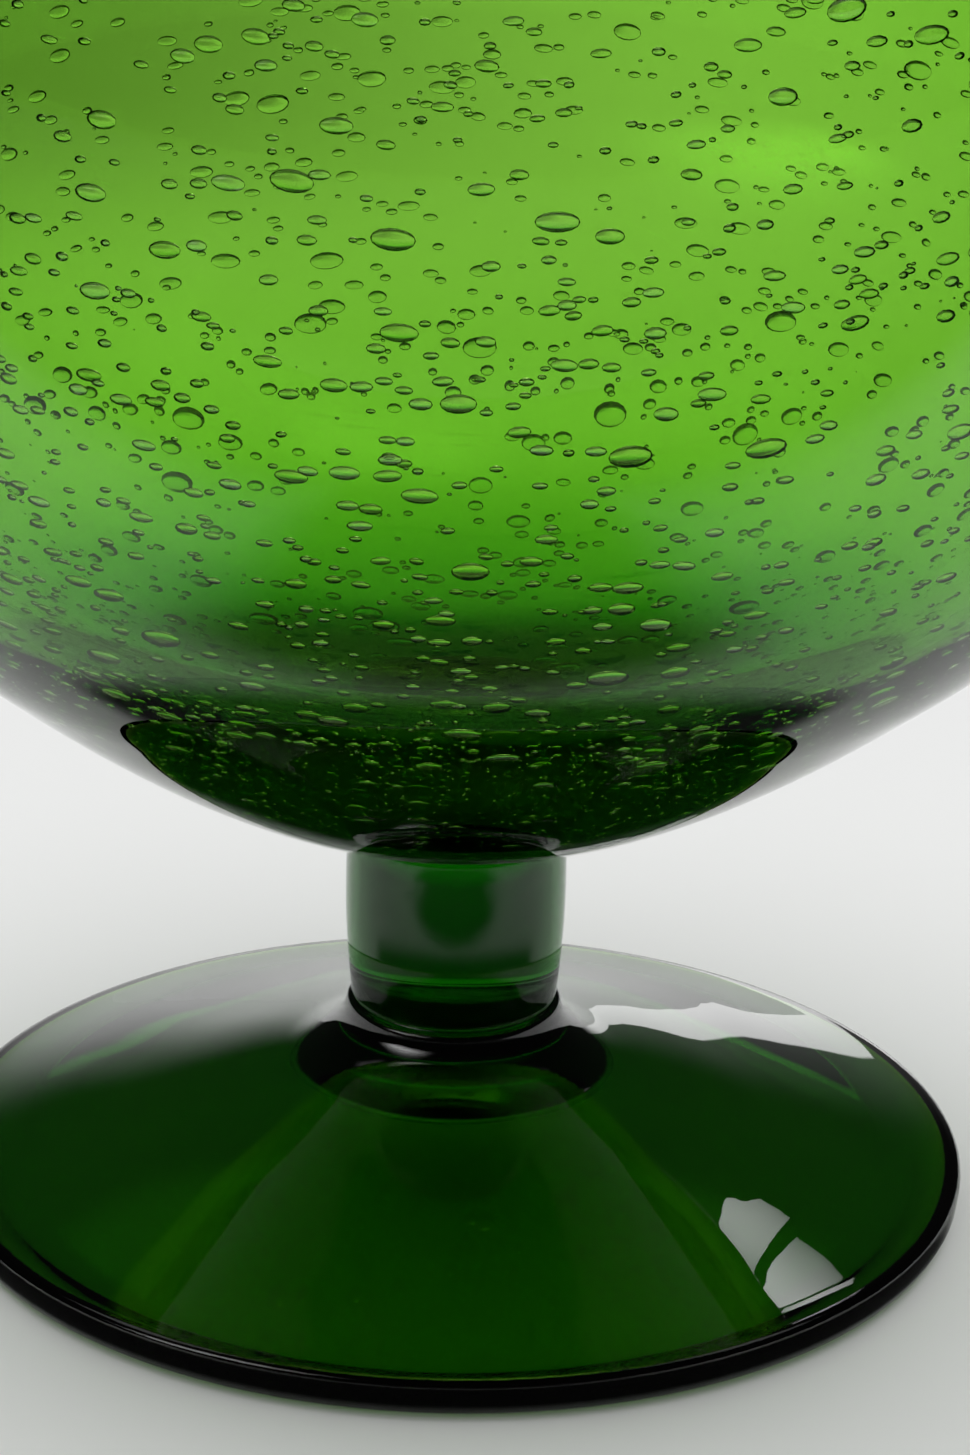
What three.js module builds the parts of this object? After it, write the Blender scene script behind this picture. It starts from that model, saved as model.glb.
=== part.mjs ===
// A hand-blown wine glass in green bubble glass, in millimetres, with +Z up.
// It is built from the gathers of glass that the maker joins hot: a pressed foot,
// a small flared collar, a short barrel stem and a round blown bowl.
// Each piece is turned about Z, and stands on the flat seat of the one below it.
// The origin is the centre of the ring that the foot rests on.

import * as THREE from "three";

// Foot: a shallow cone, hollow underneath, that rests on a narrow flat ring
const footDiameter = 72;
const footHeight = 10.7;
const footRimHeight = 3.2;
const footRimRounding = 0.75;
const footRimBulge = 2;
const footRingWidth = 2.6;
const footHollowHeight = 6.5;
const footHollowFlatRadius = 5;
const footHollowBend = 8;

// Collar: the flared disc between foot and stem
const collarDiameter = 20.8;
const collarHeight = 3.8;
const collarTopDiameter = 15;
const collarTopRounding = 0.5;

// Stem: a short solid barrel, tucked in where it meets the collar
const stemLength = 13.6;
const stemDiameter = 15.3;
const stemWidestHeight = 8.6;
const stemTopDiameter = 15;
const stemFootDiameter = 14.4;
const stemTuck = 0.6;

// Bowl: a blown balloon with a heavy base, which draws in to a fire-polished rim
const bowlDiameter = 106;
const bowlHeight = 110;
const bellyHeight = 49;
const flankDiameter = 74;
const flankHeight = 16.5;
const rimDiameter = 80;
const wallThickness = 1.8;
const rimThickness = 1.8;
const baseThickness = 8;

// How steep the bowl's outline is where its curves meet
const baseSlope = THREE.MathUtils.degToRad(11.5);
const flankSlope = THREE.MathUtils.degToRad(38);
const rimLean = THREE.MathUtils.degToRad(14);

// How far each curve of the bowl's outline reaches along its end tangents
const baseReach = 13;
const lowerFlankReach = 6;
const upperFlankReach = 14;
const lowerBellyReach = 12;
const upperBellyReach = 18;
const rimReach = 20;
const insideFloorReach = 18;
const insideBellyReach = 32;

// Fineness of the turned surfaces
const turns = 64;
const longestStep = 6;
const fewestSteps = 3;

// The heights at which the pieces meet
const collarSeat = footHeight;
const stemSeat = collarSeat + collarHeight;
const bowlSeat = stemSeat + stemLength;

// Points along an outline: straight runs keep their ends, curves are cut into even steps
function pointsAlong(outline) {
  const points = [outline.curves[0].getPoint(0)];
  for (const curve of outline.curves) {
    const steps = curve.isLineCurve
      ? 1
      : Math.max(fewestSteps, Math.ceil(curve.getLength() / longestStep));
    for (let i = 1; i <= steps; i += 1) points.push(curve.getPoint(i / steps));
  }
  return points;
}

// One solid of glass, turned about Z from an outline of radius and height
function turned(name, outline, color) {
  const geometry = new THREE.LatheGeometry(pointsAlong(outline), turns);
  geometry.rotateX(Math.PI / 2);
  const glass = new THREE.MeshStandardMaterial({ color, roughness: 0.05, metalness: 0 });
  const mesh = new THREE.Mesh(geometry, glass);
  mesh.name = name;
  return mesh;
}

function makeFoot() {
  const radius = footDiameter / 2;
  const ringOuter = radius - footRimBulge;
  const ringInner = ringOuter - footRingWidth;
  const shoulder = radius - footRimRounding;
  const seatRadius = collarDiameter / 2;
  const widest = footRimHeight - footRimRounding;
  const outline = new THREE.Path();
  outline.moveTo(0, footHollowHeight);
  outline.lineTo(footHollowFlatRadius, footHollowHeight);
  outline.quadraticCurveTo(footHollowFlatRadius + footHollowBend, footHollowHeight, ringInner, 0);
  outline.lineTo(ringOuter, 0);
  outline.quadraticCurveTo(radius, 0, radius, widest);
  outline.quadraticCurveTo(radius, footRimHeight, shoulder, footRimHeight);
  outline.lineTo(seatRadius, footHeight);
  outline.lineTo(0, footHeight);
  return turned("foot", outline, 0x174a0c);
}

function makeCollar() {
  const radius = collarDiameter / 2;
  const topRadius = collarTopDiameter / 2;
  const top = collarSeat + collarHeight;
  const outline = new THREE.Path();
  outline.moveTo(0, collarSeat);
  outline.lineTo(radius, collarSeat);
  outline.quadraticCurveTo(topRadius, collarSeat + collarHeight / 2, topRadius, top - collarTopRounding);
  outline.quadraticCurveTo(topRadius, top, topRadius - collarTopRounding, top);
  outline.lineTo(0, top);
  return turned("collar", outline, 0x0f3a08);
}

function makeStem() {
  const radius = stemDiameter / 2;
  const footRadius = stemFootDiameter / 2;
  const widest = stemSeat + stemWidestHeight;
  const tuckTop = stemSeat + stemTuck;
  const outline = new THREE.Path();
  outline.moveTo(0, stemSeat);
  outline.lineTo(footRadius - stemTuck, stemSeat);
  outline.quadraticCurveTo(footRadius, stemSeat, footRadius, tuckTop);
  outline.quadraticCurveTo(radius, (tuckTop + widest) / 2, radius, widest);
  outline.quadraticCurveTo(radius, (widest + bowlSeat) / 2, stemTopDiameter / 2, bowlSeat);
  outline.lineTo(0, bowlSeat);
  return turned("stem", outline, 0x2f6b1c);
}

function makeBowl() {
  const radius = bowlDiameter / 2;
  const insideRadius = radius - wallThickness;
  const seatRadius = stemTopDiameter / 2;
  const flankRadius = flankDiameter / 2;
  const flank = bowlSeat + flankHeight;
  const belly = bowlSeat + bellyHeight;
  const top = bowlSeat + bowlHeight;
  const floor = bowlSeat + baseThickness;
  const lipRadius = rimThickness / 2;
  const lip = top - lipRadius;
  const rimOuter = rimDiameter / 2;
  const rimInner = rimOuter - rimThickness;
  const leanOut = rimReach * Math.sin(rimLean);
  const leanDown = rimReach * Math.cos(rimLean);
  const outline = new THREE.Path();
  outline.moveTo(0, bowlSeat);
  outline.lineTo(seatRadius, bowlSeat);
  outline.bezierCurveTo(
    seatRadius + baseReach * Math.cos(baseSlope),
    bowlSeat + baseReach * Math.sin(baseSlope),
    flankRadius - lowerFlankReach * Math.cos(flankSlope),
    flank - lowerFlankReach * Math.sin(flankSlope),
    flankRadius,
    flank,
  );
  outline.bezierCurveTo(
    flankRadius + upperFlankReach * Math.cos(flankSlope),
    flank + upperFlankReach * Math.sin(flankSlope),
    radius,
    belly - lowerBellyReach,
    radius,
    belly,
  );
  outline.bezierCurveTo(
    radius,
    belly + upperBellyReach,
    rimOuter + leanOut,
    lip - leanDown,
    rimOuter,
    lip,
  );
  outline.quadraticCurveTo(rimOuter, top, rimOuter - lipRadius, top);
  outline.quadraticCurveTo(rimInner, top, rimInner, lip);
  outline.bezierCurveTo(
    rimInner + leanOut,
    lip - leanDown,
    insideRadius,
    belly + upperBellyReach,
    insideRadius,
    belly,
  );
  outline.bezierCurveTo(insideRadius, belly - insideBellyReach, insideFloorReach, floor, 0, floor);
  return turned("bowl", outline, 0x5fa832);
}

const wineGlass = new THREE.Group();
wineGlass.add(makeFoot(), makeCollar(), makeStem(), makeBowl());

export default wineGlass;
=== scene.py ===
"""A hand-blown wine glass in green bubble glass, on a pale studio floor.

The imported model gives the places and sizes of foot, collar, stem and bowl. Here the four gathers
of glass are fused into one body, as the furnace does, and air bubbles are trapped in its wall.
A bubble's skin faces into the bubble, so that light bends out of the glass and back into it.
"""

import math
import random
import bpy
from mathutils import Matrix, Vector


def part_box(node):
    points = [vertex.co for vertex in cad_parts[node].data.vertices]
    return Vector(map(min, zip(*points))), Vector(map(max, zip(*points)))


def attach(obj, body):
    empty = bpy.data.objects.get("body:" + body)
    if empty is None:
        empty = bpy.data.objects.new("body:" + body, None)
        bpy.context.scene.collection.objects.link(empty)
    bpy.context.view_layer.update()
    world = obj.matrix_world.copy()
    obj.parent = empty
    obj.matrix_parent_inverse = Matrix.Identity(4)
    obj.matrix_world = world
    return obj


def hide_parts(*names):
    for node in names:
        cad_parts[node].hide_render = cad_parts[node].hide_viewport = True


bl_info = {
    "name": "Bubble wine glass",
    "version": (1, 0, 0),
    "blender": (4, 5, 0),
    "location": "3D View > Sidebar > Bubble glass",
    "description": "Blows a green bubble-glass wine glass and lights it on a pale floor",
    "category": "Object",
}

import bpy
import numpy as np
from mathutils import Matrix, Vector

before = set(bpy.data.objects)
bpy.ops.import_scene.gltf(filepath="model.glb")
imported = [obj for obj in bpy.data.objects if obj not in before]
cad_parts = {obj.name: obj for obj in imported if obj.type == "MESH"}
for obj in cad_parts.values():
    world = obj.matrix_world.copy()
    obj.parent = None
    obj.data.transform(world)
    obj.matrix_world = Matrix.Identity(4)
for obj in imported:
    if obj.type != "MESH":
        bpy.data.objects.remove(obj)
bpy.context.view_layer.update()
foot_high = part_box("foot")[1]
collar_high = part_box("collar")[1]
stem_low, stem_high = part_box("stem")
bowl_low, bowl_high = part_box("bowl")

NODES = ("foot", "collar", "stem", "bowl")
BODY_NAME = "blown_glass"
MM = 0.001


def length(name, description, default):
    """A size in metres, shown in the user's units"""
    return bpy.props.FloatProperty(
        name=name, description=description, default=default, min=0, unit="LENGTH", precision=5
    )


def angle(name, description, degrees):
    return bpy.props.FloatProperty(
        name=name, description=description, default=math.radians(degrees), unit="ROTATION"
    )


def number(name, description, default):
    return bpy.props.FloatProperty(name=name, description=description, default=default, precision=4)


def share_of(name, description, default):
    """A part of a whole, from 0 to 1"""
    return bpy.props.FloatProperty(
        name=name, description=description, default=default, min=0, max=1, subtype="FACTOR", precision=3
    )


def amount(name, description, default):
    return bpy.props.IntProperty(name=name, description=description, default=default, min=0)


def colour(name, description, default):
    return bpy.props.FloatVectorProperty(
        name=name, description=description, default=default, size=3, min=0, max=1, subtype="COLOR"
    )


class FootSizes(bpy.types.PropertyGroup):
    """The pressed foot, a shallow cone hollow underneath"""

    radius: length("Radius", "Widest radius of the foot", foot_high.x)
    height: length("Height", "Height of the seat for the collar", foot_high.z)
    rim_height: length("Rim height", "Height of the rim's upper edge", 3.2 * MM)
    rim_rounding: length("Rim rounding", "Rounding of the rim's upper edge", 0.75 * MM)
    rim_bulge: length("Rim bulge", "How far the rim stands out past its ring", 2 * MM)
    ring_width: length("Ring width", "Width of the flat ring that it rests on", 2.6 * MM)
    hollow_height: length("Hollow height", "Height of the hollow underneath", 6.5 * MM)
    hollow_flat: length("Hollow flat", "Radius of the flat at the top of the hollow", 5 * MM)
    hollow_bend: length("Hollow bend", "Reach of the bend round that flat", 8 * MM)
    waves: length("Waves", "How far the pressed top wanders from a true cone", 0.09 * MM)


class StemSizes(bpy.types.PropertyGroup):
    """The barrel stem and the flared collar below it"""

    collar_radius: length("Collar radius", "Radius of the collar on the foot", collar_high.x)
    collar_top: length("Collar top", "Radius of the collar under the stem", 7.5 * MM)
    collar_rounding: length("Collar rounding", "Rounding of the collar's top edge", 0.5 * MM)
    radius: length("Stem radius", "Widest radius of the stem", stem_high.x)
    widest: length("Widest height", "Height of the widest place above the collar", 8.6 * MM)
    top_radius: length("Top radius", "Radius under the bowl", 7.5 * MM)
    bottom_radius: length("Bottom radius", "Radius on the collar", 7.2 * MM)
    tuck: length("Tuck", "Rounding of the stem's bottom edge", 0.6 * MM)
    fillet: length("Fillet", "Reach of the fillets where gathers fuse", 0.7 * MM)


class BowlSizes(bpy.types.PropertyGroup):
    """The blown bowl"""

    radius: length("Radius", "Widest radius of the bowl", bowl_high.x)
    belly: length("Belly height", "Height of the widest place above the stem", 49 * MM)
    flank_radius: length("Flank radius", "Radius halfway up the bowl's underside", 37 * MM)
    flank: length("Flank height", "Height of that place above the stem", 16.5 * MM)
    rim_radius: length("Rim radius", "Outer radius of the rim", 40 * MM)
    wall: length("Wall", "Thickness of the wall at the belly", 1.8 * MM)
    rim_wall: length("Rim wall", "Thickness of the wall at the rim", 1.8 * MM)
    base: length("Base", "Thickness of the base over the stem", 8 * MM)
    base_slope: angle("Base slope", "Slope of the underside at the stem", 11.5)
    flank_slope: angle("Flank slope", "Slope of the underside at the flank", 38)
    rim_lean: angle("Rim lean", "How far the wall leans in at the rim", 14)
    base_reach: length("Base reach", "Reach of the curve at the stem", 13 * MM)
    lower_flank_reach: length("Lower flank reach", "Reach below the flank", 6 * MM)
    upper_flank_reach: length("Upper flank reach", "Reach above the flank", 14 * MM)
    lower_belly_reach: length("Lower belly reach", "Reach below the belly", 12 * MM)
    upper_belly_reach: length("Upper belly reach", "Reach above the belly", 18 * MM)
    rim_reach: length("Rim reach", "Reach below the rim", 20 * MM)
    floor_reach: length("Floor reach", "Reach of the inner curve at the floor", 18 * MM)
    inner_belly_reach: length("Inner belly reach", "Reach of the inner curve", 32 * MM)
    unevenness: length("Unevenness", "How far the hand-blown wall wanders to either side", 0.12 * MM)


class BubbleSizes(bpy.types.PropertyGroup):
    """The air bubbles trapped in the glass"""

    count: amount("Bubbles", "Bubbles in the bowl's wall", 5400)
    seeds: amount("Seeds", "Places tried for a fine seed in the heavy base", 1500)
    typical: length("Typical width", "Width that half of the bubbles stay under", 1 * MM)
    largest: length("Largest width", "Width of the largest bubble", 2.6 * MM)
    smallest: length("Smallest width", "Width of the smallest bubble", 0.22 * MM)
    variety: number("Variety", "Spread of the widths, as a logarithm", 0.5)
    stretch: number("Stretch", "Width of a large bubble over its height", 1.9)
    small_stretch: number("Small stretch", "Width of a tiny bubble over its height", 1.15)
    flatness: number("Flatness", "Depth of a large bubble over its height", 0.24)
    small_flatness: number("Small flatness", "Depth of a tiny bubble over its height", 0.95)
    company: share_of("Company", "Share of bubbles that lie close beside another", 0.25)
    skin: length("Skin", "Least glass between a bubble and the surface", 0.2 * MM)
    layer: length("Layer", "Depth that bubbles reach below the outer surface", 2.2 * MM)


class GlassLook(bpy.types.PropertyGroup):
    """The glass itself"""

    tint: colour("Tint", "What a unit of depth lets through", (0.556, 0.823, 0.12))
    depth: number("Depth of colour", "How strongly the tint builds up, per metre", 1000)
    ior: number("Index of refraction", "Bending of light by soda glass", 1.5)
    ripple: length("Ripple", "Depth of the faint ripple that tools leave on hot glass", 0.01 * MM)
    ripple_width: length("Ripple width", "Width of that ripple", 6 * MM)


class StageLook(bpy.types.PropertyGroup):
    """Floor, light and camera"""

    floor: colour("Floor", "Colour of the pale floor", (0.85, 0.85, 0.85))
    # Painted shade: the floor's far left corner is darker, seen only through the glass
    corner: share_of("Corner", "Loss of the floor's far left corner as seen through the glass", 0.55)
    # Painted shadow on the floor close behind the foot, seen only through the glass
    behind: share_of("Behind", "Loss of the floor close behind the foot as seen through the glass", 0.75)
    # Painted shadow on the floor in front of the glass and round its rim, seen only mirrored in it
    edge: share_of("Edge", "Loss of the floor near the camera as the glass mirrors it", 0.95)
    # Painted shade: the floor behind the glass darkens with distance, as seen directly
    far: share_of("Far", "Loss of the floor behind the glass as seen directly", 0.09)
    # Painted light: that far floor is brighter as seen in the glass
    painted_far_light_in_glass: share_of("Far in glass", "Gain of that floor as seen in the glass", 0.135)
    backdrop: number("Backdrop", "Brightness of the low pale backdrop", 1.9)
    room: number("Room", "Brightness of the dark room as the glass mirrors it", 0.015)
    window: number("Window", "Brightness of the large window overhead that the bowl mirrors", 0.8)
    lamp: number("Lamp", "Brightness of the small lamp overhead that the bowl mirrors", 3)
    glow: number("Glow", "Brightness of the low lamp at the near left that the bowl mirrors", 6.3)
    panes: number("Panes", "Brightness of the small window behind, which the foot mirrors", 6)
    pane_distance: length("Pane distance", "How far that window is from the foot", 0.3)
    pane_width: length("Pane width", "Width of the larger of its two panes", 8 * MM)
    pane_height: length("Pane height", "Height of the larger of its two panes", 46 * MM)
    softbox: number("Softbox", "Light of the large softbox on the floor", 1.55)
    sparkle: number("Sparkle", "Brightness of that softbox in bubbles and through the glass", 1.15)
    fill: number("Fill", "Light from all round on the floor", 0.6)
    shade: share_of("Shade", "Share of that light that reaches the floor through glass", 0.5)
    box_left: number("Softbox left", "Where it ends on the left, per unit of height", -0.75)
    box_right: number("Softbox right", "Where it ends on the right, per unit of height", 0.75)
    box_near: number("Softbox near", "Where it ends at the camera, per unit of height", -0.3)
    box_far: number("Softbox far", "Where it ends behind the glass, per unit of height", 1.15)
    distance: length("Distance", "Camera to the middle of the stem", 0.3789)
    aim: length("Aim", "Height that the camera turns round", 14.21 * MM)
    elevation: angle("Elevation", "Camera above the horizon", 24.268)
    tilt: angle("Tilt", "Camera turned up from its aim", 2.841)
    pan: angle("Pan", "Camera turned right from its aim", 0.273)
    roll: angle("Roll", "Camera turned about its view", 1.189)
    lens: bpy.props.FloatProperty(
        name="Lens", description="Focal length on a 36 mm frame", default=133.88, unit="CAMERA"
    )


# Fineness of the turned body
TURNS = 120
LONGEST_STEP = 1.6 * MM
FEWEST_STEPS = 4


def along_curve(*points):
    """Even steps along a curve through its first and last point, without the first"""
    points = [np.array(p, float) for p in points]
    reach = sum(np.linalg.norm(b - a) for a, b in zip(points, points[1:]))
    count = max(FEWEST_STEPS, math.ceil(reach / LONGEST_STEP))
    steps = []
    for i in range(1, count + 1):
        level = points
        while len(level) > 1:
            level = [a + (b - a) * i / count for a, b in zip(level, level[1:])]
        steps.append(level[0])
    return steps


def melt(points, corner, reach):
    """Rounds an outline off at a corner, as fused glass flows"""
    corner = np.array(corner, float)
    near = [i for i, p in enumerate(points) if np.linalg.norm(p - corner) < reach]
    first, last = min(near) - 1, max(near) + 1
    rounded = along_curve(points[first], corner, points[last])
    return points[: first + 1] + rounded + points[last + 1 :]


def foot_outline(foot, seat_radius):
    """The foot, from the middle of its hollow over its ring and rim to the collar"""
    ring_outer = foot.radius - foot.rim_bulge
    ring_inner = ring_outer - foot.ring_width
    shoulder = foot.radius - foot.rim_rounding
    widest = foot.rim_height - foot.rim_rounding
    top, hollow = foot.rim_height, foot.hollow_height
    bend = foot.hollow_flat + foot.hollow_bend
    points = [np.array((0, hollow))]
    points += along_curve((0, hollow), (foot.hollow_flat, hollow))
    points += along_curve((foot.hollow_flat, hollow), (bend, hollow), (ring_inner, 0))
    points += along_curve((ring_inner, 0), (ring_outer, 0))
    points += along_curve((ring_outer, 0), (foot.radius, 0), (foot.radius, widest))
    points += along_curve((foot.radius, widest), (foot.radius, top), (shoulder, top))
    points += along_curve((shoulder, top), (seat_radius, foot.height))
    return points


def stem_outline(stem, seat, neck, top):
    """Collar and stem, from the foot's seat over the neck to the bowl"""
    rounded = neck - stem.collar_rounding
    inner = stem.collar_top - stem.collar_rounding
    collar_top, bottom, radius = stem.collar_top, stem.bottom_radius, stem.radius
    tucked = neck + stem.tuck
    widest = neck + stem.widest
    points = along_curve(
        (stem.collar_radius, seat), (collar_top, (seat + neck) / 2), (collar_top, rounded)
    )
    points += along_curve((collar_top, rounded), (collar_top, neck), (inner, neck))
    points += along_curve((bottom - stem.tuck, neck), (bottom, neck), (bottom, tucked))
    points += along_curve((bottom, tucked), (radius, (tucked + widest) / 2), (radius, widest))
    points += along_curve((radius, widest), (radius, (widest + top) / 2), (stem.top_radius, top))
    return points


def bowl_outside(bowl, seat_radius, seat, lip):
    """The outer wall, from the stem over flank and belly to the lip"""
    flank, belly = seat + bowl.flank, seat + bowl.belly
    slope, lean = bowl.flank_slope, bowl.rim_lean
    points = along_curve(
        (seat_radius, seat),
        (
            seat_radius + bowl.base_reach * math.cos(bowl.base_slope),
            seat + bowl.base_reach * math.sin(bowl.base_slope),
        ),
        (
            bowl.flank_radius - bowl.lower_flank_reach * math.cos(slope),
            flank - bowl.lower_flank_reach * math.sin(slope),
        ),
        (bowl.flank_radius, flank),
    )
    points += along_curve(
        (bowl.flank_radius, flank),
        (
            bowl.flank_radius + bowl.upper_flank_reach * math.cos(slope),
            flank + bowl.upper_flank_reach * math.sin(slope),
        ),
        (bowl.radius, belly - bowl.lower_belly_reach),
        (bowl.radius, belly),
    )
    points += along_curve(
        (bowl.radius, belly),
        (bowl.radius, belly + bowl.upper_belly_reach),
        (bowl.rim_radius + bowl.rim_reach * math.sin(lean), lip - bowl.rim_reach * math.cos(lean)),
        (bowl.rim_radius, lip),
    )
    return points


def bowl_inside(bowl, seat, lip):
    """The inner wall, from the lip down to the middle of the floor"""
    belly, floor = seat + bowl.belly, seat + bowl.base
    radius, rim = bowl.radius - bowl.wall, bowl.rim_radius - bowl.rim_wall
    lean = bowl.rim_lean
    points = along_curve(
        (rim, lip),
        (rim + bowl.rim_reach * math.sin(lean), lip - bowl.rim_reach * math.cos(lean)),
        (radius, belly + bowl.upper_belly_reach),
        (radius, belly),
    )
    points += along_curve(
        (radius, belly), (radius, belly - bowl.inner_belly_reach), (bowl.floor_reach, floor), (0, floor)
    )
    return points


def glass_outline(foot, stem, bowl):
    """The whole body's outline, and the outer and inner wall of the bowl"""
    seat, neck, bowl_seat = foot.height, stem_low.z, bowl_low.z
    top = bowl_high.z
    lip = top - bowl.rim_wall / 2
    rim, inner_rim = bowl.rim_radius, bowl.rim_radius - bowl.rim_wall
    middle = rim - bowl.rim_wall / 2
    outside = bowl_outside(bowl, stem.top_radius, bowl_seat, lip)
    inside = bowl_inside(bowl, bowl_seat, lip)
    lip_round = along_curve((rim, lip), (rim, top), (middle, top))
    lip_round += along_curve((middle, top), (inner_rim, top), (inner_rim, lip))
    lower = foot_outline(foot, stem.collar_radius) + stem_outline(stem, seat, neck, bowl_seat)
    points = lower + outside + lip_round + inside
    points = melt(points, (stem.collar_radius, seat), stem.fillet)
    points = melt(points, (stem.top_radius, bowl_seat), stem.fillet)
    return np.array(points), np.array(outside), np.array(inside)


# The blown wall: where its random draws start, its waves round the axis, how fast they turn on
# the way up, in radians per metre, and the height above the stem from which it wanders, and over
# which that grows
WALL_DRAW = 7
WALL_LOBES = (2, 3, 5, 8)
WALL_RISE = (20, 160)
STEADY_HEIGHT = 6 * MM
STEADY_FADE = 20 * MM

# The pressed foot: widths of the waves on its top, and how far below the cone still counts as top
FOOT_WAVES = (7 * MM, 10 * MM, 14 * MM, 20 * MM)
TOP_MARGIN = 0.1 * MM


def wander(rng, theta, height):
    """A slow wave round and up the wall, from 0 to 1"""
    total = np.zeros(np.broadcast(theta, height).shape)
    for lobes in WALL_LOBES:
        rise = rng.uniform(*WALL_RISE)
        turn, weight = rng.uniform(0, math.tau), 1 / lobes
        total = total + weight * np.sin(lobes * theta + rise * height + turn)
    return 0.5 + 0.5 * np.tanh(total)


def ripples(rng, across, away):
    """Short waves in all directions over the plan, from 0 to 1"""
    total = 0
    for wide in FOOT_WAVES:
        turn, start = rng.uniform(0, math.tau), rng.uniform(0, math.tau)
        along = across * math.cos(turn) + away * math.sin(turn)
        total = total + wide / FOOT_WAVES[-1] * np.sin(math.tau * along / wide + start)
    return 0.5 + 0.5 * np.tanh(total)


def pressed_top(ring, foot):
    """1 on the upper side of the foot, and 0 at its rim, at the collar and elsewhere"""
    inner, outer = collar_high.x, foot.radius - foot.rim_rounding
    share = np.clip((ring[:, 0] - inner) / (outer - inner), 0, 1)
    cone = foot.rim_height + (foot.height - foot.rim_height) * (1 - share)
    upper = (ring[:, 1] > cone - TOP_MARGIN) & (ring[:, 1] < foot.height)
    return np.where(upper, np.sin(math.pi * share) ** 0.5, 0)


def turn_outline(outline, foot, unevenness):
    """The outline turned about Z, as vertices and quads with a fan at each end"""
    rng = random.Random(WALL_DRAW)
    theta = np.arange(TURNS) * math.tau / TURNS
    ring = outline[1:-1]
    radius, height = ring[:, :1], ring[:, 1:]
    share = np.clip((height - bowl_low.z - STEADY_HEIGHT) / STEADY_FADE, 0, 1)
    radius = radius - share * unevenness * 2 * wander(rng, theta[None, :], height)
    across, away = radius * np.cos(theta), radius * np.sin(theta)
    height = height - foot.waves * pressed_top(ring, foot)[:, None] * ripples(rng, across, away)
    verts = np.stack([across, away, height], axis=-1).reshape(-1, 3)
    first, last = len(verts), len(verts) + 1
    verts = np.vstack([verts, (0, 0, outline[0][1]), (0, 0, outline[-1][1])])
    faces = []
    end = (len(ring) - 1) * TURNS
    for i in range(TURNS):
        j = (i + 1) % TURNS
        faces.append((first, j, i))
        for a in range(0, end, TURNS):
            b = a + TURNS
            faces.append((a + i, a + j, b + j, b + i))
        faces.append((end + i, end + j, last))
    return verts, faces


class Wall:
    """Places in the bowl's wall, by the length along its outer side"""

    def __init__(self, outside, inside):
        self.points = outside
        steps = np.linalg.norm(np.diff(outside, axis=0), axis=1)
        self.along = np.concatenate([[0], np.cumsum(steps)])
        tangent = np.gradient(outside, axis=0)
        self.tangent = tangent / np.linalg.norm(tangent, axis=1)[:, None]
        gaps = np.linalg.norm(outside[:, None, :] - inside[None, :, :], axis=2)
        self.thickness = gaps.min(axis=1)
        area = self.points[:-1, 0] * steps
        self.share = np.concatenate([[0], np.cumsum(area)]) / area.sum()

    def at(self, share):
        """Radius and height, tangent and thickness where that share of the area lies below"""
        s = np.interp(share, self.share, self.along)
        rows = (*self.points.T, *self.tangent.T, self.thickness)
        pick = [np.interp(s, self.along, row) for row in rows]
        return np.array(pick[:2]), np.array(pick[2:4]), pick[4]


# Least width, segments and rings of a bubble, from large to tiny
BUBBLE_GRADES = ((1.5 * MM, 14, 7), (0.75 * MM, 9, 5), (0.4 * MM, 7, 4), (0.0, 5, 3))

# Parts of the wall, as the share of its area below which they lie, and over which they fade
LOWER_WALL = (0.75, 0.35)
BASE_WALL = (0.2, 0.05)
ROUND_WALL = (0.25, 0.1)

# How crowded the bubbles are: how quickly they thin out round the bowl from the camera's side, the
# share that is left behind, the share between clouds, and the share that the base lacks
CAMERA_SIDE = -math.pi / 2
THINNING = 1.5
SPARSE = 0.3
BETWEEN_CLOUDS = 0.5
BASE_LACKS = 0.85

# The clouds: their waves round the bowl, and how fast these turn on the way up, the finer the faster
CLOUD_LOBES = range(2, 12)
CLOUD_RISE = 9

# A bubble's form: the width from which it is drawn out in full, what the base takes off its
# stretch, how far its stretch and depth vary, and how far it tilts, in radians
DRAWN_WIDTH = 1.2 * MM
BASE_ROUNDING = 0.4
STRETCH_RANGE = (0.88, 1.15)
DEPTH_RANGE = (0.85, 1.2)
TILT = 0.05

# The layer that bubbles fill: its share of full depth at the stem, and what it gains up the wall
LAYER_AT_STEM = 0.4
LAYER_GAIN = 2.4

# How close two bubbles may come, over their half widths, and how many tries each bubble has
CLOSEST = 0.85
TRIES = 40

# A bubble close beside another: how far up, as a share of the wall, how far round, at the radius
# there or at least the one given, and how much smaller
BESIDE_UP = 0.006
BESIDE_ROUND = 2.4 * MM
LEAST_ROUND = 8 * MM
BESIDE_WIDTH = 0.85

# The fine seeds: where they lie in the wall, the middle and spread of their widths, as logarithms
# over the smallest, and how far they spread round the bowl from the camera's side, in radians
SEED_WALL = (0.02, 0.21)
SEED_WIDTHS = (0.35, 0.3)
SEED_SPREAD = 1

# Where the random draws of bubbles and clouds start
BUBBLE_DRAW = 11
CLOUD_DRAW = 5


class Bubbles:
    """Bubbles that have found a place, spaced so that few touch"""

    def __init__(self, room):
        self.count = 0
        self.centres = np.zeros((room, 3))
        self.axes = np.zeros((room, 3, 3))
        self.sizes = np.zeros((room, 3))

    def add(self, centre, axes, size):
        n = self.count
        away = np.linalg.norm(self.centres[:n] - centre, axis=1)
        if n < len(self.centres) and (away > (self.sizes[:n, 0] + size[0]) * CLOSEST).all():
            self.centres[n], self.axes[n], self.sizes[n] = centre, axes, size
            self.count += 1


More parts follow.
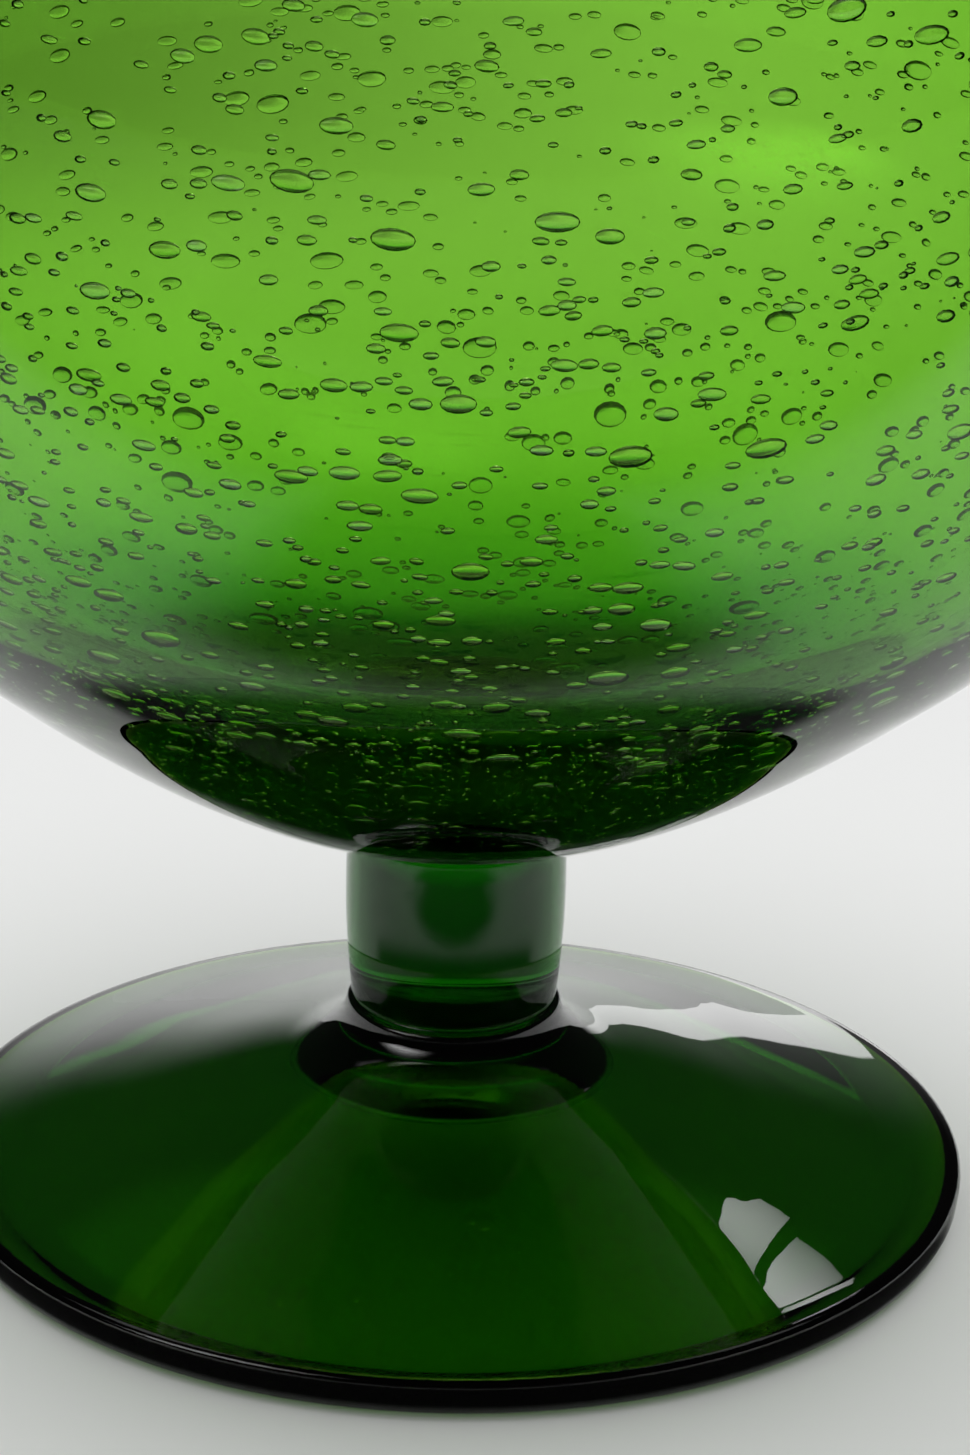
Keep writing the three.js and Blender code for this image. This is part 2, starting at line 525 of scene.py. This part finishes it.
class Clouds:
    """A slow random field round and up the bowl, from 0 to 1"""

    def __init__(self, rng):
        self.waves = [
            (lobes, rng.uniform(-CLOUD_RISE, CLOUD_RISE) * (1 + lobes / 4), rng.uniform(0, math.tau))
            for lobes in CLOUD_LOBES
        ]

    def at(self, theta, share):
        total = sum(math.sin(lobes * theta + rise * share + turn) for lobes, rise, turn in self.waves)
        return 0.5 + 0.5 * math.tanh(total / 2)


def below(share, limit, fade):
    """1 low in the wall, and 0 above that limit"""
    return min(max((limit - share) / fade, 0), 1)


def crowding(share, theta, clouds):
    """Bubbles lie in clouds, densest low down on the side that faces the camera"""
    front = 0.5 + 0.5 * math.cos(theta - CAMERA_SIDE)
    side = SPARSE + (1 - SPARSE) * below(share, *LOWER_WALL) * front**THINNING
    cloud = BETWEEN_CLOUDS + (1 - BETWEEN_CLOUDS) * clouds.at(theta, share)
    return side * cloud * (1 - BASE_LACKS * below(share, *BASE_WALL))


def place_bubble(bubbles, wall, settings, rng, share, theta, width):
    """Lays a bubble in the wall there, drawn out level, unless another is in its way"""
    place, tangent, thickness = wall.at(share)
    half = width / 2
    drawn = min(width / DRAWN_WIDTH, 1)
    stretch = settings.small_stretch + (settings.stretch - settings.small_stretch) * drawn
    flatness = settings.small_flatness + (settings.flatness - settings.small_flatness) * drawn
    stretch *= 1 - BASE_ROUNDING * below(share, *ROUND_WALL)
    high = half / (stretch * rng.uniform(*STRETCH_RANGE))
    deep = min(high * flatness * rng.uniform(*DEPTH_RANGE), thickness / 2 - settings.skin)
    least = deep + settings.skin
    most = min(thickness - least, settings.layer * min(LAYER_AT_STEM + LAYER_GAIN * share, 1))
    depth = rng.uniform(least, max(most, least))
    inward = np.array((-tangent[1], tangent[0]))
    radius, height = place + inward * depth
    c, s = math.cos(theta), math.sin(theta)
    around = np.array((-s, c, 0))
    up = np.array((tangent[0] * c, tangent[0] * s, tangent[1]))
    tilt = rng.gauss(0, TILT)
    level = around * math.cos(tilt) + up * math.sin(tilt)
    upright = up * math.cos(tilt) - around * math.sin(tilt)
    out = np.cross(level, upright)
    centre = np.array((radius * c, radius * s, height))
    bubbles.add(centre, np.array((level, upright, out)), np.array((half, high, deep)))


def trap_bubbles(wall, settings):
    """Bubbles all over the wall, some in company, and then the seeds in the base"""
    rng = random.Random(BUBBLE_DRAW)
    clouds = Clouds(random.Random(CLOUD_DRAW))
    bubbles = Bubbles(settings.count + settings.seeds)
    share, theta = 0.5, 0.0
    tries = 0
    while bubbles.count < settings.count and tries < settings.count * TRIES:
        tries += 1
        width = settings.typical * rng.lognormvariate(0, settings.variety)
        if rng.random() < settings.company:
            share = min(max(share + rng.gauss(0, BESIDE_UP), 0), 1)
            theta += rng.gauss(0, BESIDE_ROUND) / max(wall.at(share)[0][0], LEAST_ROUND)
            width *= BESIDE_WIDTH
        else:
            share, theta = rng.random(), rng.uniform(0, math.tau)
            if rng.random() > crowding(share, theta, clouds):
                continue
        width = min(max(width, settings.smallest), settings.largest)
        place_bubble(bubbles, wall, settings, rng, share, theta, width)
    for _ in range(settings.seeds):
        share = rng.uniform(*SEED_WALL)
        width = settings.smallest * rng.lognormvariate(*SEED_WIDTHS)
        theta = rng.gauss(CAMERA_SIDE, SEED_SPREAD)
        place_bubble(bubbles, wall, settings, rng, share, theta, width)
    return bubbles


def bubble_ball(segments, rings):
    """A unit ball with its poles on X and its faces turned in"""
    verts = [(1, 0, 0)]
    for r in range(1, rings):
        tilt = math.pi * r / rings
        x, radius = math.cos(tilt), math.sin(tilt)
        for s in range(segments):
            turn = math.tau * s / segments
            verts.append((x, radius * math.cos(turn), radius * math.sin(turn)))
    verts.append((-1, 0, 0))
    faces = []
    last = len(verts) - 1
    end = 1 + (rings - 2) * segments
    for s in range(segments):
        t = (s + 1) % segments
        faces.append((0, 1 + t, 1 + s))
        for a in range(1, end, segments):
            b = a + segments
            faces.append((a + s, a + t, b + t, b + s))
        faces.append((end + s, end + t, last))
    return np.array(verts), faces


def bubble_shells(bubbles, chosen):
    """One mesh's worth of vertices and faces for the chosen bubbles"""
    grades = [(least, *bubble_ball(segments, rings)) for least, segments, rings in BUBBLE_GRADES]
    verts, faces, start = [], [], 0
    for n in chosen:
        size = bubbles.sizes[n]
        ball, ball_faces = next((v, f) for least, v, f in grades if size[0] * 2 >= least)
        verts.append(bubbles.centres[n] + (ball * size) @ bubbles.axes[n])
        faces += [tuple(start + i for i in face) for face in ball_faces]
        start += len(ball)
    return np.vstack(verts), faces


def new_mesh_object(name, verts, faces, material):
    mesh = bpy.data.meshes.new(name)
    mesh.from_pydata([tuple(v) for v in verts], [], faces)
    mesh.validate()
    mesh.shade_smooth()
    mesh.materials.append(material)
    ob = bpy.data.objects.new(name, mesh)
    bpy.context.scene.collection.objects.link(ob)
    return ob


def ripple_group():
    """A faint ripple of the surface, as a normal that every glass surface shares"""
    tree = bpy.data.node_groups.new("faint_ripple", "ShaderNodeTree")
    tree.interface.new_socket("Waves per metre", in_out="INPUT", socket_type="NodeSocketFloat")
    tree.interface.new_socket("Depth", in_out="INPUT", socket_type="NodeSocketFloat")
    tree.interface.new_socket("Normal", in_out="OUTPUT", socket_type="NodeSocketVector")
    nodes, links = tree.nodes, tree.links
    given = nodes.new("NodeGroupInput")
    noise = nodes.new("ShaderNodeTexNoise")
    noise.inputs["Detail"].default_value = 1
    bump = nodes.new("ShaderNodeBump")
    links.new(nodes.new("ShaderNodeTexCoord").outputs["Object"], noise.inputs["Vector"])
    links.new(given.outputs["Waves per metre"], noise.inputs["Scale"])
    links.new(given.outputs["Depth"], bump.inputs["Distance"])
    links.new(noise.outputs["Fac"], bump.inputs["Height"])
    links.new(bump.outputs["Normal"], nodes.new("NodeGroupOutput").inputs["Normal"])
    return tree


def clear_material(name, look):
    """A smooth clear surface between glass and air, with the faint ripple"""
    mat = bpy.data.materials.new(name)
    mat.use_nodes = True
    nodes, links = mat.node_tree.nodes, mat.node_tree.links
    shader = nodes["Principled BSDF"]
    shader.inputs["Base Color"].default_value = (1, 1, 1, 1)
    shader.inputs["Roughness"].default_value = 0
    shader.inputs["IOR"].default_value = look.ior
    shader.inputs["Transmission Weight"].default_value = 1
    ripple = nodes.new("ShaderNodeGroup")
    ripple.node_tree = bpy.data.node_groups.get("faint_ripple") or ripple_group()
    ripple.inputs["Waves per metre"].default_value = 1 / look.ripple_width
    ripple.inputs["Depth"].default_value = look.ripple
    links.new(ripple.outputs["Normal"], shader.inputs["Normal"])
    return mat


def glass_material(look):
    """Clear on its surface, and green by the depth of glass that light goes through"""
    mat = clear_material("green_bubble_glass", look)
    nodes, links = mat.node_tree.nodes, mat.node_tree.links
    depth = nodes.new("ShaderNodeVolumeAbsorption")
    depth.inputs["Color"].default_value = (*look.tint, 1)
    depth.inputs["Density"].default_value = look.depth
    links.new(depth.outputs["Volume"], nodes["Material Output"].inputs["Volume"])
    return mat


class GLASS_OT_blow(bpy.types.Operator):
    """Turns the fused body of foot, collar, stem and bowl"""

    bl_idname = "bubble_glass.blow"
    bl_label = "Blow the glass"

    def execute(self, context):
        scene = context.scene
        outline = glass_outline(scene.glass_foot, scene.glass_stem, scene.glass_bowl)[0]
        verts, faces = turn_outline(outline, scene.glass_foot, scene.glass_bowl.unevenness)
        glass = new_mesh_object(BODY_NAME, verts, faces, glass_material(scene.glass_look))
        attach(glass, "root")
        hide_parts(*NODES)
        return {"FINISHED"}


class GLASS_OT_bubbles(bpy.types.Operator):
    """Traps air bubbles in the bowl's wall and fine seeds in its base"""

    bl_idname = "bubble_glass.bubbles"
    bl_label = "Trap the bubbles"

    def execute(self, context):
        scene = context.scene
        outside, inside = glass_outline(scene.glass_foot, scene.glass_stem, scene.glass_bowl)[1:]
        bubbles = trap_bubbles(Wall(outside, inside), scene.glass_bubbles)
        material = clear_material("air_in_green_glass", scene.glass_look)
        across, away = bubbles.centres[:, 0], bubbles.centres[:, 1]
        quarters = {
            "air_bubbles_front_left": (across < 0) & (away < 0),
            "air_bubbles_front_right": (across >= 0) & (away < 0),
            "air_bubbles_back_left": (across < 0) & (away >= 0),
            "air_bubbles_back_right": (across >= 0) & (away >= 0),
        }
        for name, side in quarters.items():
            chosen = [n for n in range(bubbles.count) if side[n]]
            air = new_mesh_object(name, *bubble_shells(bubbles, chosen), material)
            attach(air, "root")
        return {"FINISHED"}


class Shading:
    """Short names for the maths of a node tree"""

    def __init__(self, tree):
        self.nodes, self.links = tree.nodes, tree.links

    def split(self, vector):
        """Its parts across, away from the camera and up"""
        parts = self.nodes.new("ShaderNodeSeparateXYZ")
        self.links.new(vector, parts.inputs["Vector"])
        return parts.outputs

    def math(self, operation, *values):
        node = self.nodes.new("ShaderNodeMath")
        node.operation = operation
        for socket, value in zip(node.inputs, values):
            if isinstance(value, bpy.types.NodeSocket):
                self.links.new(value, socket)
            else:
                socket.default_value = value
        return node.outputs["Value"]

    def chain(self, operation, first, *others):
        for other in others:
            first = self.math(operation, first, other)
        return first

    def add(self, *values):
        return self.chain("ADD", *values)

    def times(self, *values):
        return self.chain("MULTIPLY", *values)

    def most(self, *values):
        return self.chain("MAXIMUM", *values)

    def rest(self, value):
        """What is left of 1"""
        return self.math("SUBTRACT", 1, value)

    def ramp(self, value, low, high):
        """0 below low and 1 above high, softly"""
        node = self.nodes.new("ShaderNodeMapRange")
        node.interpolation_type = "SMOOTHSTEP"
        node.inputs["From Min"].default_value = low
        node.inputs["From Max"].default_value = high
        self.links.new(value, node.inputs["Value"])
        return node.outputs["Result"]

    def falling(self, value, low, high):
        """1 below low and 0 above high, softly"""
        return self.rest(self.ramp(value, low, high))


# The floor: it reaches this far each way, in metres, and lies just under the ring of the foot
FLOOR_REACH = 8
FLOOR_LEVEL = -0.03 * MM
FLOOR_ROUGHNESS = 0.9

# Places on the floor with painted shade that only the glass shows. Through it: a darker far left
# corner and a painted shadow in a strip close behind the foot. Mirrored in it: painted shadows in
# front of the glass and round its rim. Each pair is where a soft edge starts and ends, in metres
# across or away from the foot's middle, or from it all round.
CORNER_RIGHT = (-0.06, 0.05)
CORNER_NEAR = (0.17, 0.3)
STRIP_NEAR = (0.034, 0.04)
STRIP_FAR = (0.05, 0.067)
STRIP_SIDES = (0.025, 0.055)
MIDDLE_SIDES = (0.03, 0.06)
MIDDLE_FAR = (-0.056, -0.04)
RING_INSIDE = (0.0345, 0.0365)
RING_OUTSIDE = (0.042, 0.052)
RING_FAR = (-0.01, 0)
FRONT_FAR = (-0.14, -0.085)

# Where the painted shade of the far floor as seen directly, and the painted light on it as seen in the
# glass, start
FAR_NEAR = (0.03, 0.1)


def painted_shade_through_glass(shading, stage, across, away):
    """Painted shade seen through the glass: a darker far left corner, and a painted shadow in a strip
    close behind the foot
    """
    corner = shading.times(shading.falling(across, *CORNER_RIGHT), shading.ramp(away, *CORNER_NEAR))
    strip = shading.times(shading.ramp(away, *STRIP_NEAR), shading.falling(away, *STRIP_FAR))
    sides = shading.falling(shading.math("ABSOLUTE", across), *STRIP_SIDES)
    return shading.most(shading.times(corner, stage.corner), shading.times(strip, sides, stage.behind))


def painted_shade_in_mirror(shading, stage, across, away):
    """Painted shadow on the floor in front of the glass and close round its rim, seen only as the glass
    mirrors it
    """
    sides = shading.falling(shading.math("ABSOLUTE", across), *MIDDLE_SIDES)
    middle = shading.times(sides, shading.falling(away, *MIDDLE_FAR))
    radius = shading.add(shading.times(across, across), shading.times(away, away))
    radius = shading.math("SQRT", radius)
    ring = shading.times(shading.ramp(radius, *RING_INSIDE), shading.falling(radius, *RING_OUTSIDE))
    ring = shading.times(ring, shading.falling(away, *RING_FAR))
    return shading.times(shading.most(middle, ring, shading.falling(away, *FRONT_FAR)), stage.edge)


def floor_material(stage):
    """Pale, with painted shade that makes it a little dimmer behind the glass, painted light that makes
    it a little brighter there as seen in the glass, and painted shade that only the glass shows
    """
    mat = bpy.data.materials.new("pale_floor")
    mat.use_nodes = True
    shading = Shading(mat.node_tree)
    shader = shading.nodes["Principled BSDF"]
    shader.inputs["Roughness"].default_value = FLOOR_ROUGHNESS
    place = shading.nodes.new("ShaderNodeNewGeometry").outputs["Position"]
    across, away, _ = shading.split(place)
    path = shading.nodes.new("ShaderNodeLightPath")
    through, sharp = path.outputs["Is Transmission Ray"], path.outputs["Is Glossy Ray"]
    # Painted shade that the glass shows through it
    seen = shading.times(painted_shade_through_glass(shading, stage, across, away), through)
    # A sharp ray is also one that smooth glass has bent, so those are taken out of the mirror
    mirrored = shading.times(sharp, shading.rest(through))
    # Painted shadow, only where the glass mirrors the floor
    mirrored = shading.times(painted_shade_in_mirror(shading, stage, across, away), mirrored)
    # Painted light: seen in the glass, the far floor loses its painted shade and is brighter instead
    painted_light_in_glass = shading.times(sharp, stage.far + stage.painted_far_light_in_glass)
    # Painted shade: the floor darkens with distance behind the glass
    far = shading.times(shading.ramp(away, *FAR_NEAR), shading.math("SUBTRACT", stage.far, painted_light_in_glass))
    # What is left of the pale colour after the painted shade and painted light
    left = shading.rest(shading.add(shading.most(seen, mirrored), far))
    tone = shading.nodes.new("ShaderNodeCombineColor")
    for socket, value in zip(tone.inputs, stage.floor):
        shading.links.new(shading.times(left, value), socket)
    shading.links.new(tone.outputs["Color"], shader.inputs["Base Color"])
    return mat


def make_floor(stage):
    far = FLOOR_REACH
    verts = [(x, y, FLOOR_LEVEL) for x, y in ((-far, -far), (far, -far), (far, far), (-far, far))]
    floor = new_mesh_object("floor", verts, [(0, 1, 2, 3)], floor_material(stage))


# The backdrop, by direction. Each pair is where a soft edge starts and ends, in the parts of a
# direction of length 1, or across over away for its sides. Its left half is soft and its right
# half sharp-edged, with a faint glow above both. Through the glass most of it is lost.
BACKDROP_LEFT = (-0.14, 0.02)
SOFT_TOP = (0, 0.35)
SOFT_SHARE = 0.45
SHARP_TOP = (0.11, 0.12)
GLOW_TOP = (0.1, 0.35)
GLOW_SHARE = 0.08
BACKDROP_SIDES = (0.26, 0.42)
BACKDROP_AHEAD = (0, 0.1)
LEAST_AWAY = 0.05
LOST_IN_GLASS = 0.85

# What hangs overhead: its left, right, near and far side per unit of height, and half the width
# of its soft edges. The lowest directions see none of it.
WINDOW_SIDES = (-1, 0.9, -0.1, 0.38, 0.12)
LAMP_SIDES = (-0.03, 0.26, 0.12, 0.36, 0.08)
LOW_LAMP_SIDES = (-3.4, -1.2, -2, -1.1, 0.6)
SOFTBOX_EDGE = 0.2
LEAST_RISE = 0.02
OVERHEAD = (0.05, 0.1)


class Surround(Shading):
    """The light of the studio, drawn by direction in the world's shader"""

    def __init__(self, stage):
        self.stage = stage
        world = bpy.data.worlds.new("surround")
        world.use_nodes = True
        super().__init__(world.node_tree)
        bpy.context.scene.world = world
        compass = self.nodes.new("ShaderNodeTexCoord").outputs["Generated"]
        self.across, self.away, self.rise = self.split(compass)
        path = self.nodes.new("ShaderNodeLightPath").outputs
        self.through = path["Is Transmission Ray"]
        sharp = self.most(path["Is Camera Ray"], path["Is Glossy Ray"], self.through)
        # A ray that the floor has scattered, even once, meets the lamps themselves
        sharp = self.times(sharp, self.math("LESS_THAN", path["Diffuse Depth"], 1))
        box = self.softbox()
        seen, thrown = self.seen(box), self.thrown(box)
        total = self.add(self.times(sharp, seen), self.times(self.rest(sharp), thrown))
        background = self.nodes["Background"]
        background.inputs["Color"].default_value = (1, 1, 1, 1)
        self.links.new(total, background.inputs["Strength"])

    def seen(self, box):
        """What the camera sees directly, mirrored in the glass and through it"""
        stage = self.stage
        backdrop = self.times(self.backdrop(), self.rest(self.times(self.through, LOST_IN_GLASS)))
        sparkle = self.times(box, self.through, stage.sparkle)
        return self.add(backdrop, self.overhead(), stage.room, sparkle)

    def thrown(self, box):
        """What lights the floor, less of it where it comes through glass"""
        stage = self.stage
        light = self.add(self.times(box, stage.softbox), stage.fill)
        return self.times(light, self.rest(self.times(self.through, 1 - stage.shade)))

    def backdrop(self):
        """Low and sharp-edged behind the glass on the right, higher and soft on the left"""
        left = self.falling(self.across, *BACKDROP_LEFT)
        soft = self.times(self.falling(self.rise, *SOFT_TOP), left, SOFT_SHARE)
        sharp = self.times(self.falling(self.rise, *SHARP_TOP), self.rest(left))
        glow = self.times(self.falling(self.rise, *GLOW_TOP), GLOW_SHARE)
        side = self.math("DIVIDE", self.math("ABSOLUTE", self.across), self.most(self.away, LEAST_AWAY))
        within = self.times(self.falling(side, *BACKDROP_SIDES), self.ramp(self.away, *BACKDROP_AHEAD))
        return self.times(self.add(soft, sharp, glow), within, self.stage.backdrop)

    def pane(self, left, right, near, far, edge):
        """1 within a level pane overhead, whose sides are given per unit of its height"""
        height = self.most(self.rise, LEAST_RISE)
        along, back = self.math("DIVIDE", self.across, height), self.math("DIVIDE", self.away, height)
        inside = self.ramp(self.rise, *OVERHEAD)
        for place, low, high in ((along, left, right), (back, near, far)):
            inside = self.times(inside, self.ramp(place, low - edge, low + edge))
            inside = self.times(inside, self.falling(place, high - edge, high + edge))
        return inside

    def softbox(self):
        stage = self.stage
        return self.pane(stage.box_left, stage.box_right, stage.box_near, stage.box_far, SOFTBOX_EDGE)

    def overhead(self):
        """The window and the two lamps that the bowl mirrors"""
        stage = self.stage
        window = self.times(self.pane(*WINDOW_SIDES), stage.window)
        lamp = self.times(self.pane(*LAMP_SIDES), stage.lamp)
        glow = self.times(self.pane(*LOW_LAMP_SIDES), stage.glow)
        return self.add(window, lamp, glow)


# The small window that the foot mirrors: where its image lies on the foot, the way from there to
# it, where on the floor its light is aimed, and half the angle that its light spreads over. Each
# pane has its share of the larger one's size, and its place left and up in that one's sizes.
IMAGE_PLACE = (21.5 * MM, -16.2 * MM, 5.7 * MM)
WINDOW_WAY = (0.475, 1.03, 1)
WINDOW_AIM = (33 * MM, -25 * MM, 0)
HALF_SPREAD = math.radians(6)
WINDOW_PANES = ((0.8, 0.3, 0.17), (1, -1, 0.45))


def hang_window(stage):
    """Two small panes behind the glass on the right, which only its foot mirrors"""
    way = Vector(WINDOW_WAY).normalized()
    leftward = Vector((0, 0, 1)).cross(way).normalized()
    upward = way.cross(leftward)
    middle = Vector(IMAGE_PLACE) + way * stage.pane_distance
    # A narrow spread brightens a pane, so its power is cut by as much
    narrowing = math.tan(HALF_SPREAD) / (math.tan(HALF_SPREAD) - HALF_SPREAD)
    for n, (share, left, rise) in enumerate(WINDOW_PANES):
        data = bpy.data.lights.new(f"window_pane_{n + 1}", "AREA")
        data.shape = "RECTANGLE"
        data.size = stage.pane_width * share
        data.size_y = stage.pane_height * share
        data.spread = 2 * HALF_SPREAD
        data.energy = stage.panes * math.pi * data.size * data.size_y / narrowing
        pane = bpy.data.objects.new(data.name, data)
        place = middle + leftward * stage.pane_width * left + upward * stage.pane_height * rise
        facing = (place - Vector(WINDOW_AIM)).normalized()
        level = Vector((0, 0, 1)).cross(facing).normalized()
        turned = Matrix((level, facing.cross(level), facing)).transposed()
        pane.matrix_world = Matrix.Translation(place) @ turned.to_4x4()
        pane.visible_camera = pane.visible_diffuse = pane.visible_transmission = False
        bpy.context.scene.collection.objects.link(pane)


# The camera: width of its frame in millimetres, and the nearest that it sees in metres
FRAME_WIDTH = 36
NEAREST = 0.01


def swung(first, second, turn):
    """Two directions at right angles, turned from the first towards the second"""
    c, s = math.cos(turn), math.sin(turn)
    return first * c + second * s, second * c - first * s


def set_camera(stage):
    c, s = math.cos(stage.elevation), math.sin(stage.elevation)
    forward, right, up = Vector((0, c, -s)), Vector((1, 0, 0)), Vector((0, s, c))
    place = Vector((0, 0, stage.aim)) - forward * stage.distance
    forward, right = swung(forward, right, stage.pan)
    forward, up = swung(forward, up, stage.tilt)
    right, up = swung(right, up, stage.roll)
    data = bpy.data.cameras.new("camera")
    data.lens = stage.lens
    data.sensor_width = FRAME_WIDTH
    data.clip_start = NEAREST
    camera = bpy.data.objects.new("camera", data)
    turned = Matrix((right, up, -forward)).transposed()
    camera.matrix_world = Matrix.Translation(place) @ turned.to_4x4()
    bpy.context.scene.collection.objects.link(camera)
    bpy.context.scene.camera = camera


# How many surfaces of glass a ray may pass, and how many mirror it
GLASS_BOUNCES = 32
MIRROR_BOUNCES = 16


class GLASS_OT_stage(bpy.types.Operator):
    """Lays the pale floor and sets lamps, surround and camera"""

    bl_idname = "bubble_glass.stage"
    bl_label = "Set the stage"

    def execute(self, context):
        scene = context.scene
        make_floor(scene.glass_stage)
        Surround(scene.glass_stage)
        hang_window(scene.glass_stage)
        set_camera(scene.glass_stage)
        scene.view_settings.view_transform = "Standard"
        scene.cycles.max_bounces = GLASS_BOUNCES
        scene.cycles.transmission_bounces = GLASS_BOUNCES
        scene.cycles.glossy_bounces = MIRROR_BOUNCES
        return {"FINISHED"}


class GLASS_PT_panel(bpy.types.Panel):
    """The glass's sizes and looks, and its operators"""

    bl_label = "Bubble wine glass"
    bl_idname = "GLASS_PT_panel"
    bl_space_type = "VIEW_3D"
    bl_region_type = "UI"
    bl_category = "Bubble glass"

    def draw(self, context):
        scene = context.scene
        for name in SETTINGS:
            box = self.layout.box()
            box.label(text=name.replace("_", " "))
            settings = getattr(scene, name)
            for key in settings.__annotations__:
                box.prop(settings, key)
        for operator in OPERATORS:
            self.layout.operator(operator.bl_idname)


SETTINGS = {
    "glass_foot": FootSizes,
    "glass_stem": StemSizes,
    "glass_bowl": BowlSizes,
    "glass_bubbles": BubbleSizes,
    "glass_look": GlassLook,
    "glass_stage": StageLook,
}
OPERATORS = (GLASS_OT_blow, GLASS_OT_bubbles, GLASS_OT_stage)
CLASSES = (*SETTINGS.values(), *OPERATORS, GLASS_PT_panel)


def register():
    for cls in CLASSES:
        bpy.utils.register_class(cls)
    for name, settings in SETTINGS.items():
        setattr(bpy.types.Scene, name, bpy.props.PointerProperty(type=settings))


def unregister():
    for name in SETTINGS:
        delattr(bpy.types.Scene, name)
    for cls in reversed(CLASSES):
        bpy.utils.unregister_class(cls)


def main():
    register()
    bpy.ops.bubble_glass.blow()
    bpy.ops.bubble_glass.bubbles()
    bpy.ops.bubble_glass.stage()


if __name__ == "__main__":
    main()
